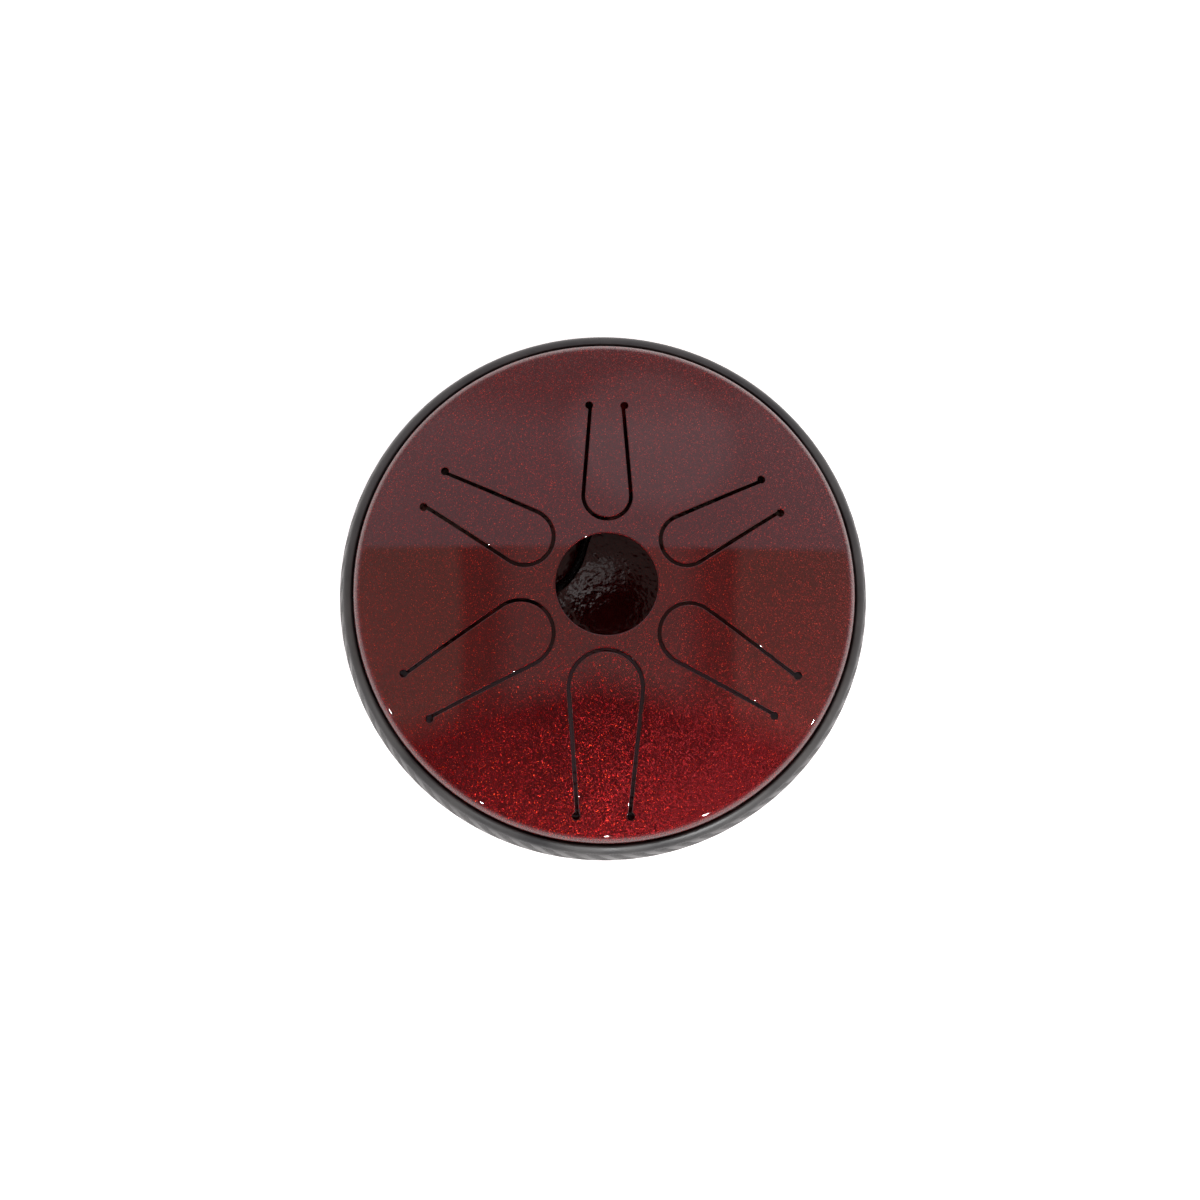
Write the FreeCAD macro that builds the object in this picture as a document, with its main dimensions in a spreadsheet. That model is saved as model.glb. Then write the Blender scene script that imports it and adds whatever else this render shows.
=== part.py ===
import FreeCAD, Part
import math
import os
import sys
import Sketcher

# A six-tongue steel tongue drum: two dished steel heads welded edge to edge, a rubber rim over the
# seam, four bolted rubber feet and a contact pickup wired to a small socket in the back of the skirt.
# +Z is up and the origin is on the drum's axis at the height of the feet's soles. Millimetres.

V = FreeCAD.Vector

SIZES = {
    # steel heads: a spherical crown, a tight knuckle and a short upright skirt
    "shell_radius": 101.6,
    "crown_radius": 196.0,
    "knuckle_radius": 6.0,
    "skirt_height": 12.0,
    "steel": 2.0,
    "weld_gap": 1.0,
    "weld_root": 0.6,
    "belly_clearance": 4.0,
    # sound hole and the six tongues round it
    "sound_hole_radius": 20.5,
    "lip_rounding": 0.7,
    "tip_circle_radius": 26.5,
    "slot_width": 1.3,
    "relief_hole_radius": 1.5,
    "relief_offset": 0.5,
    "tongue_a_length": 64.8,
    "tongue_a_root": 11.05,
    "tongue_a_head": 14.95,
    "tongue_b_length": 60.8,
    "tongue_b_root": 10.55,
    "tongue_b_head": 13.45,
    "tongue_c_length": 57.9,
    "tongue_c_root": 9.45,
    "tongue_c_head": 12.3,
    "tongue_d_length": 53.4,
    "tongue_d_root": 8.45,
    "tongue_d_head": 11.45,
    "tongue_e_length": 50.2,
    "tongue_e_root": 7.75,
    "tongue_e_head": 10.3,
    "tongue_f_length": 48.0,
    "tongue_f_root": 7.1,
    "tongue_f_head": 9.6,
    # rubber rim
    "rim_height": 24.0,
    "rim_thickness": 5.2,
    "rim_bead": 2.2,
    "rim_joint_gap": 0.15,
    "rim_joint_azimuth": 91.3,
    # feet, their screws and what clamps them
    "foot_circle_radius": 60.0,
    "foot_top_radius": 10.0,
    "foot_sole_radius": 8.0,
    "foot_recess_radius": 5.2,
    "foot_recess_depth": 5.0,
    "screw_radius": 2.0,
    "screw_clearance": 0.2,
    "screw_head_radius": 4.0,
    "screw_head_height": 2.4,
    "screw_key_radius": 1.2,
    "screw_key_depth": 1.5,
    "screw_overrun": 1.2,
    "washer_radius": 4.8,
    "washer_thickness": 0.8,
    "nut_across_flats": 7.0,
    "nut_height": 3.2,
    "saddle_radius": 7.0,
    "saddle_edge": 0.8,
    # socket in the skirt
    "jack_azimuth": 62.0,
    "jack_bore_radius": 1.8,
    "jack_thread_radius": 3.0,
    "jack_clearance": 0.2,
    "jack_body_radius": 4.2,
    "jack_body_length": 13.0,
    "jack_gasket_radius": 4.6,
    "jack_gasket_thickness": 0.8,
    "jack_washer_radius": 4.4,
    "jack_washer_thickness": 0.6,
    "jack_nut_radius": 4.0,
    "jack_nut_thickness": 1.8,
    "jack_thread_overrun": 0.4,
    "jack_access_radius": 5.8,
    "terminal_radius": 0.5,
    "terminal_length": 2.6,
    "terminal_spacing": 2.6,
    # contact pickup under the top head
    "pickup_circle_radius": 50.0,
    "pickup_azimuth": 180.0,
    "pickup_pad_radius": 8.5,
    "pickup_pad_thickness": 0.9,
    "pickup_disc_radius": 7.5,
    "pickup_disc_thickness": 0.25,
    "pickup_crystal_radius": 5.5,
    "pickup_crystal_thickness": 0.25,
    "pickup_cap_radius": 4.5,
    "pickup_cap_height": 3.0,
    # lead from the pickup to the socket
    "lead_radius": 1.75,
    "lead_socket_run": 16.0,
    "lead_pickup_run": 18.0,
}

# tongues from the longest, lowest one to the shortest, with the way each points, in degrees
TONGUES = [("a", 270), ("b", 210), ("c", 330), ("d", 150), ("e", 30), ("f", 90)]
FEET = [("back_right", 45), ("back_left", 135), ("front_left", 225), ("front_right", 315)]

# the lead's corners between its two straight ends, chosen to hang clear of both heads: x and y as
# shares of the shell's radius, z as a share of the drum's height
LEAD_BENDS = [
    (0.150, 0.453, 0.303),
    (-0.045, 0.349, 0.204),
    (-0.100, 0.130, 0.220),
    (-0.300, -0.030, 0.387),
]

doc = FreeCAD.newDocument("tongue_drum")
sizes = doc.addObject("Spreadsheet::Sheet", "Sizes")


def fill_sheet():
    for row, (alias, number) in enumerate(SIZES.items(), start=1):
        sizes.set("A%d" % row, alias)
        sizes.set("B%d" % row, str(number))
        sizes.setAlias("B%d" % row, alias)
    doc.recompute()


def named(formula):
    """Turn a formula in plain size names into one that points at the sheet."""
    words = []
    word = ""
    for letter in formula + " ":
        if letter.isalnum() or letter == "_":
            word += letter
            continue
        words.append("Sizes." + word if word in SIZES else word)
        words.append(letter)
        word = ""
    return "".join(words).strip()


def value(formula):
    answer = sizes.evalExpression(named(formula))
    return float(getattr(answer, "Value", answer))


def bind(thing, name, formula):
    thing.setExpression(name, named(formula))


# ---- heights and places that several pieces share, as formulas in size names ----

DISH_RISE = ("(crown_radius - sqrt((crown_radius - knuckle_radius)^2"
             " - (shell_radius - knuckle_radius)^2))")
HEAD_HEIGHT = "(%s + skirt_height)" % DISH_RISE
LOWER_EDGE = "(belly_clearance + %s)" % HEAD_HEIGHT
SEAM = "(%s + weld_gap / 2)" % LOWER_EDGE
UPPER_EDGE = "(%s + weld_gap)" % LOWER_EDGE
CROWN_TOP = "(%s + %s)" % (UPPER_EDGE, HEAD_HEIGHT)
JACK_HEIGHT = "(%s - skirt_height / 2)" % LOWER_EDGE
INNER_RADIUS = "(shell_radius - steel)"
SADDLE_REACH = "(foot_circle_radius + saddle_radius)"
SADDLE_TOP = ("(belly_clearance + crown_radius - sqrt((crown_radius - steel)^2 - %s^2)"
              " + saddle_edge)" % SADDLE_REACH)
CROWN_CENTRE = "(%s - crown_radius)" % CROWN_TOP


def place_polar(thing, radius, azimuth, height):
    bind(thing, "Placement.Base.x", "%s * cos(%s * 1deg)" % (radius, azimuth))
    bind(thing, "Placement.Base.y", "%s * sin(%s * 1deg)" % (radius, azimuth))
    bind(thing, "Placement.Base.z", height)


# ---- sketches ----

def origin_plane(body, role):
    return [plane for plane in body.Origin.OriginFeatures if plane.Role == role][0]


def new_sketch(body, role):
    sketch = body.newObject("Sketcher::SketchObject", body.Name + "_outline")
    sketch.AttachmentSupport = [(origin_plane(body, role), "")]
    sketch.MapMode = "FlatFace"
    return sketch


def drive(sketch, kind, places, formula, name):
    """Add a driving dimension that takes its number from the sheet."""
    index = sketch.addConstraint(Sketcher.Constraint(kind, *places, value(formula)))
    sketch.renameConstraint(index, name)
    bind(sketch, "Constraints." + name, formula)


def close_polygon(sketch, outline):
    """Straight-sided outline whose corners are each held by two dimensions from the origin."""
    corners = [V(value(across), value(along), 0) for across, along in outline]
    count = len(corners)
    for i in range(count):
        sketch.addGeometry(Part.LineSegment(corners[i], corners[(i + 1) % count]))
    for i in range(count):
        sketch.addConstraint(Sketcher.Constraint("Coincident", i, 2, (i + 1) % count, 1))
    for i, (across, along) in enumerate(outline):
        drive(sketch, "DistanceX", (-1, 1, i, 1), across, "across_%d" % i)
        drive(sketch, "DistanceY", (-1, 1, i, 1), along, "along_%d" % i)


def revolve(body, sketch, axis):
    turn = body.newObject("PartDesign::Revolution", body.Name + "_turn")
    turn.Profile = sketch
    turn.ReferenceAxis = (sketch, [axis])
    turn.Angle = 360.0
    body.Tip = turn
    return turn


def upright_turned(name, outline):
    """Body turned about an upright axis: outline in (radius, height) formulas."""
    body = doc.addObject("PartDesign::Body", name)
    sketch = new_sketch(body, "XZ_Plane")
    close_polygon(sketch, outline)
    revolve(body, sketch, "V_Axis")
    return body


def radial_turned(name, outline):
    """Body turned about the socket's axis: outline in (distance from drum axis, radius) formulas."""
    body = doc.addObject("PartDesign::Body", name)
    sketch = new_sketch(body, "XY_Plane")
    close_polygon(sketch, outline)
    revolve(body, sketch, "H_Axis")
    bind(body, "Placement.Rotation.Angle", "jack_azimuth * 1deg")
    bind(body, "Placement.Base.z", JACK_HEIGHT)
    return body


# ---- booleans ----

def cut(name, base, tool):
    result = doc.addObject("Part::Cut", name)
    result.Base = base
    result.Tool = tool
    return result


def common(name, base, tool):
    result = doc.addObject("Part::Common", name)
    result.Base = base
    result.Tool = tool
    return result


def gather(name, pieces):
    group = doc.addObject("Part::Compound", name)
    group.Links = pieces
    return group


def post(name, radius, height):
    cylinder = doc.addObject("Part::Cylinder", name)
    bind(cylinder, "Radius", radius)
    bind(cylinder, "Height", height)
    return cylinder


# ---- steel heads ----

def filled_head(name, inset):
    """Solid dish of the head's outer face, or of its inner face where inset is the steel."""
    rim = value("shell_radius - %s" % inset)
    crown = value("crown_radius - %s" % inset)
    knuckle = value("knuckle_radius - %s" % inset)
    skirt = value("skirt_height")
    crown_centre = V(0, value("%s - crown_radius" % HEAD_HEIGHT), 0)
    knuckle_centre = V(value("shell_radius - knuckle_radius"), skirt, 0)
    lean = knuckle_centre.sub(crown_centre)
    meet = math.atan2(lean.y, lean.x)
    top = V(0, crown_centre.y + crown, 0)
    body = doc.addObject("PartDesign::Body", name)
    sketch = new_sketch(body, "XZ_Plane")
    normal = V(0, 0, 1)
    sketch.addGeometry(Part.LineSegment(V(0, 0, 0), top))
    sketch.addGeometry(Part.ArcOfCircle(Part.Circle(crown_centre, normal, crown), meet, math.pi / 2))
    sketch.addGeometry(Part.ArcOfCircle(Part.Circle(knuckle_centre, normal, knuckle), 0, meet))
    sketch.addGeometry(Part.LineSegment(V(rim, skirt, 0), V(rim, 0, 0)))
    sketch.addGeometry(Part.LineSegment(V(rim, 0, 0), V(0, 0, 0)))
    sketch.addConstraint(Sketcher.Constraint("Coincident", 0, 1, -1, 1))
    sketch.addConstraint(Sketcher.Constraint("PointOnObject", 0, 2, -2))
    sketch.addConstraint(Sketcher.Constraint("Coincident", 1, 2, 0, 2))
    sketch.addConstraint(Sketcher.Constraint("PointOnObject", 1, 3, -2))
    sketch.addConstraint(Sketcher.Constraint("Tangent", 1, 1, 2, 2))
    sketch.addConstraint(Sketcher.Constraint("Tangent", 2, 1, 3, 1))
    sketch.addConstraint(Sketcher.Constraint("Vertical", 3))
    sketch.addConstraint(Sketcher.Constraint("Coincident", 3, 2, 4, 1))
    sketch.addConstraint(Sketcher.Constraint("Coincident", 4, 2, 0, 1))
    sketch.addConstraint(Sketcher.Constraint("Horizontal", 4))
    drive(sketch, "Radius", (1,), "crown_radius - %s" % inset, "crown")
    drive(sketch, "Radius", (2,), "knuckle_radius - %s" % inset, "knuckle")
    drive(sketch, "DistanceX", (-1, 1, 3, 2), "shell_radius - %s" % inset, "rim")
    drive(sketch, "DistanceY", (3, 2, 3, 1), "skirt_height", "skirt")
    revolve(body, sketch, "V_Axis")
    return body


def head_solids(name, turned_over, edge):
    """The outer and inner solids of one head, stood on its edge or hung below it."""
    solids = []
    for side, inset in (("outer", "0"), ("inner", "steel")):
        body = filled_head("%s_%s" % (name, side), inset)
        body.Placement.Rotation = FreeCAD.Rotation(V(1, 0, 0), 180 if turned_over else 0)
        bind(body, "Placement.Base.z", edge)
        solids.append(body)
    return solids


def tongue_slot(letter, azimuth):
    """Cutter for the slot round one tongue: straight flanks tangent to a round head at the tip."""
    length = "tongue_%s_length" % letter
    root = "tongue_%s_root" % letter
    head = "tongue_%s_head" % letter
    flank_end = "(%s - relief_offset)" % root
    centre = V(value("tip_circle_radius + %s" % head), 0, 0)
    end = V(value("tip_circle_radius + %s" % length), value(flank_end), 0)
    reach = end.sub(centre)
    touch = math.atan2(reach.y, reach.x) + math.acos(value(head) / reach.Length)
    meeting = centre.add(V(math.cos(touch), math.sin(touch), 0) * value(head))
    sketch = doc.addObject("Sketcher::SketchObject", "tongue_%s_line" % letter)
    circle = Part.Circle(centre, V(0, 0, 1), value(head))
    sketch.addGeometry(Part.LineSegment(end, meeting))
    sketch.addGeometry(Part.ArcOfCircle(circle, touch, 2 * math.pi - touch))
    sketch.addGeometry(Part.LineSegment(V(meeting.x, -meeting.y, 0), V(end.x, -end.y, 0)))
    sketch.addConstraint(Sketcher.Constraint("Tangent", 0, 2, 1, 1))
    sketch.addConstraint(Sketcher.Constraint("Tangent", 1, 2, 2, 1))
    sketch.addConstraint(Sketcher.Constraint("PointOnObject", 1, 3, -1))
    sketch.addConstraint(Sketcher.Constraint("Symmetric", 0, 1, 2, 2, -1))
    drive(sketch, "Radius", (1,), head, "head")
    drive(sketch, "DistanceX", (-1, 1, 1, 3), "tip_circle_radius + %s" % head, "head_place")
    drive(sketch, "DistanceX", (-1, 1, 0, 1), "tip_circle_radius + %s" % length, "reach")
    drive(sketch, "DistanceY", (-1, 1, 0, 1), flank_end, "half_root")
    sketch.Placement.Rotation = FreeCAD.Rotation(V(0, 0, 1), azimuth)
    bind(sketch, "Placement.Base.z", UPPER_EDGE)
    ribbon = doc.addObject("Part::Offset2D", "tongue_%s_ribbon" % letter)
    ribbon.Source = sketch
    ribbon.Mode = "Pipe"
    bind(ribbon, "Value", "slot_width / 2")
    slot = doc.addObject("Part::Extrusion", "tongue_%s_slot" % letter)
    slot.Base = ribbon
    slot.DirMode = "Custom"
    slot.Dir = V(0, 0, 1)
    slot.Solid = True
    bind(slot, "LengthFwd", "%s + steel" % HEAD_HEIGHT)
    return slot


def relief_holes(letter, azimuth):
    """Two drilled holes that end the slot's flanks, set a little outside their lines."""
    along = "(tip_circle_radius + tongue_%s_length)" % letter
    holes = []
    for side, sign in (("left", ""), ("right", "-")):
        hole = post("relief_%s_%s" % (letter, side), "relief_hole_radius", "%s + steel" % HEAD_HEIGHT)
        across = "(%stongue_%s_root)" % (sign, letter)
        turn = "(%d * 1deg)" % azimuth
        bind(hole, "Placement.Base.x", "%s * cos(%s) - %s * sin(%s)" % (along, turn, across, turn))
        bind(hole, "Placement.Base.y", "%s * sin(%s) + %s * cos(%s)" % (along, turn, across, turn))
        bind(hole, "Placement.Base.z", UPPER_EDGE)
        holes.append(hole)
    return holes


def round_the_lip(name, base):
    """Round both edges of the sound hole."""
    doc.recompute()
    radius = value("sound_hole_radius")
    rounding = value("lip_rounding")
    lips = []
    for index, edge in enumerate(base.Shape.Edges, start=1):
        middle = edge.valueAt((edge.FirstParameter + edge.LastParameter) / 2)
        upright = edge.BoundBox.ZLength > value("steel") / 2
        if abs(math.hypot(middle.x, middle.y) - radius) < 1e-3 and not upright:
            lips.append((index, rounding, rounding))
    lip = doc.addObject("Part::Fillet", name)
    lip.Base = base
    lip.Edges = lips
    return lip


def top_shell(outer, inner):
    dome = cut("top_dome", outer, inner)
    hole = post("sound_hole", "sound_hole_radius", "%s + steel" % HEAD_HEIGHT)
    bind(hole, "Placement.Base.z", UPPER_EDGE)
    lipped = round_the_lip("top_lip", cut("top_with_hole", dome, hole))
    cutters = []
    for letter, azimuth in TONGUES:
        cutters.append(tongue_slot(letter, azimuth))
        cutters.extend(relief_holes(letter, azimuth))
    slots = doc.addObject("Part::MultiFuse", "tongue_slots")
    slots.Shapes = cutters
    return cut("top_shell", lipped, slots)


def bottom_shell(outer, inner):
    bowl = cut("bottom_bowl", outer, inner)
    holes = []
    for place, azimuth in FEET:
        hole = post("foot_hole_" + place, "screw_radius + screw_clearance", SADDLE_TOP)
        place_polar(hole, "foot_circle_radius", azimuth, "0")
        holes.append(hole)
    holes.append(radial_turned("jack_hole", [
        ("shell_radius - 2 * steel", "0"),
        ("shell_radius + steel", "0"),
        ("shell_radius + steel", "jack_thread_radius + jack_clearance"),
        ("shell_radius - 2 * steel", "jack_thread_radius + jack_clearance")]))
    drills = doc.addObject("Part::MultiFuse", "bottom_holes")
    drills.Shapes = holes
    return cut("bottom_shell", bowl, drills)


def seam_weld():
    """Bead that fills the gap between the two skirts, a little proud on the inside."""
    return upright_turned("seam_weld", [
        ("%s - weld_root" % INNER_RADIUS, SEAM),
        (INNER_RADIUS, LOWER_EDGE),
        ("shell_radius", LOWER_EDGE),
        ("shell_radius", UPPER_EDGE),
        (INNER_RADIUS, UPPER_EDGE)])


# ---- rubber rim ----

def rim_band():
    """Full ring with a flat inner face, a rounded bead at each edge and a crowned outer face."""
    half = "(rim_height / 2 - rim_bead / 2)"
    rise = "(rim_thickness - rim_bead)"
    crown = "((%s^2 + %s^2) / (2 * %s))" % (half, rise, rise)
    inside = value("shell_radius")
    bead = value("rim_bead")
    low = V(inside, value("%s - %s" % (SEAM, half)), 0)
    high = V(inside, value("%s + %s" % (SEAM, half)), 0)
    across = V(bead / 2, 0, 0)
    normal = V(0, 0, 1)
    face_centre = V(value("shell_radius + rim_thickness - %s" % crown), value(SEAM), 0)
    spread = math.asin(value("%s / %s" % (half, crown)))
    body = doc.addObject("PartDesign::Body", "rim_band")
    sketch = new_sketch(body, "XZ_Plane")
    inner, upper_bead, face, lower_bead = 0, 1, 2, 3
    sketch.addGeometry(Part.LineSegment(low, high))
    sketch.addGeometry(Part.ArcOfCircle(Part.Circle(high + across, normal, bead / 2), 0, math.pi))
    sketch.addGeometry(Part.ArcOfCircle(Part.Circle(face_centre, normal, value(crown)), -spread, spread))
    sketch.addGeometry(Part.ArcOfCircle(Part.Circle(low + across, normal, bead / 2), math.pi, 2 * math.pi))
    sketch.addConstraint(Sketcher.Constraint("Tangent", inner, 2, upper_bead, 2))
    sketch.addConstraint(Sketcher.Constraint("Coincident", upper_bead, 1, face, 2))
    sketch.addConstraint(Sketcher.Constraint("Coincident", face, 1, lower_bead, 2))
    sketch.addConstraint(Sketcher.Constraint("Tangent", lower_bead, 1, inner, 1))
    sketch.addConstraint(Sketcher.Constraint("Vertical", inner))
    sketch.addConstraint(Sketcher.Constraint("Horizontal", inner, 2, face, 2))
    sketch.addConstraint(Sketcher.Constraint("Horizontal", inner, 1, face, 1))
    drive(sketch, "DistanceX", (-1, 1, inner, 1), "shell_radius", "inside")
    drive(sketch, "DistanceY", (-1, 1, inner, 1), "%s - %s" % (SEAM, half), "low")
    drive(sketch, "DistanceY", (-1, 1, inner, 2), "%s + %s" % (SEAM, half), "high")
    drive(sketch, "DistanceX", (-1, 1, face, 2), "shell_radius + rim_bead", "upper_bead_width")
    drive(sketch, "DistanceX", (-1, 1, face, 1), "shell_radius + rim_bead", "lower_bead_width")
    drive(sketch, "Radius", (face,), crown, "crown")
    revolve(body, sketch, "V_Axis")
    return body


def rubber_rim():
    """The band, parted where its ends butt and pierced for the socket's nut and a plug."""
    gap = doc.addObject("Part::Box", "rim_joint")
    bind(gap, "Length", "3 * rim_thickness")
    bind(gap, "Width", "rim_joint_gap")
    bind(gap, "Height", "rim_height + 2 * rim_bead")
    gap.Placement.Rotation = FreeCAD.Rotation(V(0, 0, 1), value("rim_joint_azimuth"))
    place_polar(gap, "(shell_radius - rim_thickness)", "rim_joint_azimuth",
                "%s - rim_height / 2 - rim_bead" % SEAM)
    access = radial_turned("rim_access", [
        ("shell_radius - rim_thickness", "0"),
        ("shell_radius + 2 * rim_thickness", "0"),
        ("shell_radius + 2 * rim_thickness", "jack_access_radius"),
        ("shell_radius - rim_thickness", "jack_access_radius")])
    openings = doc.addObject("Part::MultiFuse", "rim_openings")
    openings.Shapes = [gap, access]
    return cut("rubber_rim", rim_band(), openings)


# ---- feet ----

def foot(place, azimuth, head_outer):
    """Tapered rubber foot, moulded to the head above it and recessed for its screw."""
    bore = "(screw_radius + screw_clearance)"
    blank = upright_turned("foot_blank_" + place, [
        (bore, "foot_recess_depth"),
        ("foot_recess_radius", "foot_recess_depth"),
        ("foot_recess_radius", "0"),
        ("foot_sole_radius", "0"),
        ("foot_top_radius", "foot_recess_depth"),
        ("foot_top_radius", SADDLE_TOP),
        (bore, SADDLE_TOP)])
    place_polar(blank, "foot_circle_radius", azimuth, "0")
    return cut("foot_" + place, blank, head_outer)


def saddle(place, azimuth, head_inner):
    """Wedge pad with a flat top that fits the sloping inner face of the bottom head."""
    bore = "(screw_radius + screw_clearance)"
    blank = upright_turned("saddle_blank_" + place, [
        (bore, "belly_clearance"),
        ("saddle_radius", "belly_clearance"),
        ("saddle_radius", SADDLE_TOP),
        (bore, SADDLE_TOP)])
    place_polar(blank, "foot_circle_radius", azimuth, "0")
    return common("saddle_" + place, blank, head_inner)


def washer(name, azimuth, underside):
    bore = "(screw_radius + screw_clearance)"
    top = "(%s + washer_thickness)" % underside
    ring = upright_turned(name, [
        (bore, underside), ("washer_radius", underside), ("washer_radius", top), (bore, top)])
    place_polar(ring, "foot_circle_radius", azimuth, "0")
    return ring


def screw(place, azimuth):
    """Pan-head screw with a round-bottomed key recess, head down inside the foot."""
    bearing = "(foot_recess_depth - washer_thickness)"
    sole = "(%s - screw_head_height)" % bearing
    tip = "(%s + washer_thickness + nut_height + screw_overrun)" % SADDLE_TOP
    bolt = upright_turned("screw_" + place, [
        ("0", "%s + screw_key_depth" % sole),
        ("screw_key_radius", "%s + screw_key_depth" % sole),
        ("screw_key_radius", sole),
        ("screw_head_radius", sole),
        ("screw_head_radius", bearing),
        ("screw_radius", bearing),
        ("screw_radius", tip),
        ("0", tip)])
    place_polar(bolt, "foot_circle_radius", azimuth, "0")
    return bolt


def nut(place, azimuth):
    """Plain hexagon nut on the washer inside the drum."""
    block = doc.addObject("Part::Prism", "nut_block_" + place)
    block.Polygon = 6
    bind(block, "Circumradius", "nut_across_flats / 2 / cos(30deg)")
    bind(block, "Height", "nut_height")
    seat = "(%s + washer_thickness)" % SADDLE_TOP
    place_polar(block, "foot_circle_radius", azimuth, seat)
    bore = post("nut_bore_" + place, "screw_radius", "nut_height")
    place_polar(bore, "foot_circle_radius", azimuth, seat)
    return cut("nut_" + place, block, bore)


def foot_hardware(head_inner):
    saddles = [saddle(place, azimuth, head_inner) for place, azimuth in FEET]
    screws = [screw(place, azimuth) for place, azimuth in FEET]
    nuts = [nut(place, azimuth) for place, azimuth in FEET]
    low = "(foot_recess_depth - washer_thickness)"
    recess_washers = [washer("recess_washer_" + place, azimuth, low) for place, azimuth in FEET]
    inner_washers = [washer("inner_washer_" + place, azimuth, SADDLE_TOP) for place, azimuth in FEET]
    return [gather("foot_saddles", saddles), gather("foot_screws", screws),
            gather("foot_nuts", nuts), gather("foot_recess_washers", recess_washers),
            gather("foot_inner_washers", inner_washers)]


# ---- socket ----

JACK_SHOULDER = "(%s - jack_gasket_thickness)" % INNER_RADIUS
JACK_BACK = "(%s - jack_body_length)" % JACK_SHOULDER
JACK_WASHER_FACE = "(shell_radius + jack_washer_thickness)"
JACK_NUT_FACE = "(%s + jack_nut_thickness)" % JACK_WASHER_FACE
JACK_MOUTH = "(%s + jack_thread_overrun)" % JACK_NUT_FACE


def jack_pieces(lower_outer, lower_inner):
    """Small round panel socket: sleeve, body, gasket, washer, ring nut and two solder pins."""
    sleeve = radial_turned("jack_sleeve", [
        (JACK_SHOULDER, "jack_bore_radius"), (JACK_MOUTH, "jack_bore_radius"),
        (JACK_MOUTH, "jack_thread_radius"), (JACK_SHOULDER, "jack_thread_radius")])
    body = radial_turned("jack_body", [
        (JACK_BACK, "0"),
        ("%s + steel" % JACK_BACK, "0"),
        ("%s + steel" % JACK_BACK, "jack_bore_radius"),
        (JACK_SHOULDER, "jack_bore_radius"),
        (JACK_SHOULDER, "jack_body_radius"),
        (JACK_BACK, "jack_body_radius")])
    gasket_blank = radial_turned("jack_gasket_blank", [
        (JACK_SHOULDER, "jack_thread_radius"), ("shell_radius", "jack_thread_radius"),
        ("shell_radius", "jack_gasket_radius"), (JACK_SHOULDER, "jack_gasket_radius")])
    gasket = common("jack_gasket", gasket_blank, lower_inner)
    washer_blank = radial_turned("jack_washer_blank", [
        (INNER_RADIUS, "jack_thread_radius"), (JACK_WASHER_FACE, "jack_thread_radius"),
        (JACK_WASHER_FACE, "jack_washer_radius"), (INNER_RADIUS, "jack_washer_radius")])
    outer_washer = cut("jack_washer", washer_blank, lower_outer)
    ring_nut = radial_turned("jack_nut", [
        (JACK_WASHER_FACE, "jack_thread_radius"), (JACK_NUT_FACE, "jack_thread_radius"),
        (JACK_NUT_FACE, "jack_nut_radius"), (JACK_WASHER_FACE, "jack_nut_radius")])
    return [sleeve, body, gasket, outer_washer, ring_nut, jack_terminals()]


def jack_terminals():
    """Two solder pins on the back of the socket, one above and one below the lead."""
    pins = []
    for place, sign in (("upper", ""), ("lower", "-")):
        pin = radial_turned("terminal_" + place, [
            ("%s - terminal_length" % JACK_BACK, "0"), (JACK_BACK, "0"),
            (JACK_BACK, "terminal_radius"), ("%s - terminal_length" % JACK_BACK, "terminal_radius")])
        bind(pin, "Placement.Base.z", "%s + (%sterminal_spacing)" % (JACK_HEIGHT, sign))
        pins.append(pin)
    return gather("jack_terminals", pins)


# ---- pickup ----

# distances from the centre of the top head's crown, out to the head's inner face
PICKUP_FACE = "(sqrt((crown_radius - steel)^2 - pickup_pad_radius^2) - pickup_pad_thickness)"
PICKUP_BACK = "(%s - pickup_disc_thickness)" % PICKUP_FACE
CRYSTAL_BACK = "(%s - pickup_crystal_thickness)" % PICKUP_BACK
CAP_BACK = "(%s - pickup_cap_height)" % CRYSTAL_BACK


def pickup_tilt():
    """Turn from upright to the head's normal at the pickup."""
    lean = math.degrees(math.asin(value("pickup_circle_radius / (crown_radius - steel)")))
    around = FreeCAD.Rotation(V(0, 0, 1), value("pickup_azimuth"))
    return around * FreeCAD.Rotation(V(0, 1, 0), lean)


def pickup_puck(name, radius, low, high):
    puck = upright_turned(name, [("0", low), (radius, low), (radius, high), ("0", high)])
    puck.Placement.Rotation = pickup_tilt()
    bind(puck, "Placement.Base.z", CROWN_CENTRE)
    return puck


def pickup_pieces(upper_inner):
    """Brass disc with its crystal, held by an adhesive pad moulded to the head, and a potting cap."""
    blank = pickup_puck("pickup_pad_blank", "pickup_pad_radius", PICKUP_FACE, "crown_radius")
    pad = common("pickup_pad", blank, upper_inner)
    disc = pickup_puck("pickup_disc", "pickup_disc_radius", PICKUP_BACK, PICKUP_FACE)
    crystal = pickup_puck("pickup_crystal", "pickup_crystal_radius", CRYSTAL_BACK, PICKUP_BACK)
    cap = pickup_puck("pickup_cap", "pickup_cap_radius", CAP_BACK, CRYSTAL_BACK)
    return [pad, disc, crystal, cap]


# ---- lead ----

def lead_route():
    """The lead's corners: straight out of the socket, across the drum, straight into the pickup."""
    azimuth = math.radians(value("jack_azimuth"))
    back = value(JACK_BACK)
    near = back - value("lead_socket_run")
    height = value(JACK_HEIGHT)
    start = V(back * math.cos(azimuth), back * math.sin(azimuth), height)
    first = V(near * math.cos(azimuth), near * math.sin(azimuth), height)
    across = value("shell_radius")
    tall = value(CROWN_TOP)
    bends = [V(x * across, y * across, z * tall) for x, y, z in LEAD_BENDS]
    outward = pickup_tilt().multVec(V(0, 0, 1))
    finish = V(0, 0, value(CROWN_CENTRE)).add(outward * value(CAP_BACK))
    last = finish.sub(outward * value("lead_pickup_run"))
    return [start, first] + bends + [last, finish]


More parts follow.
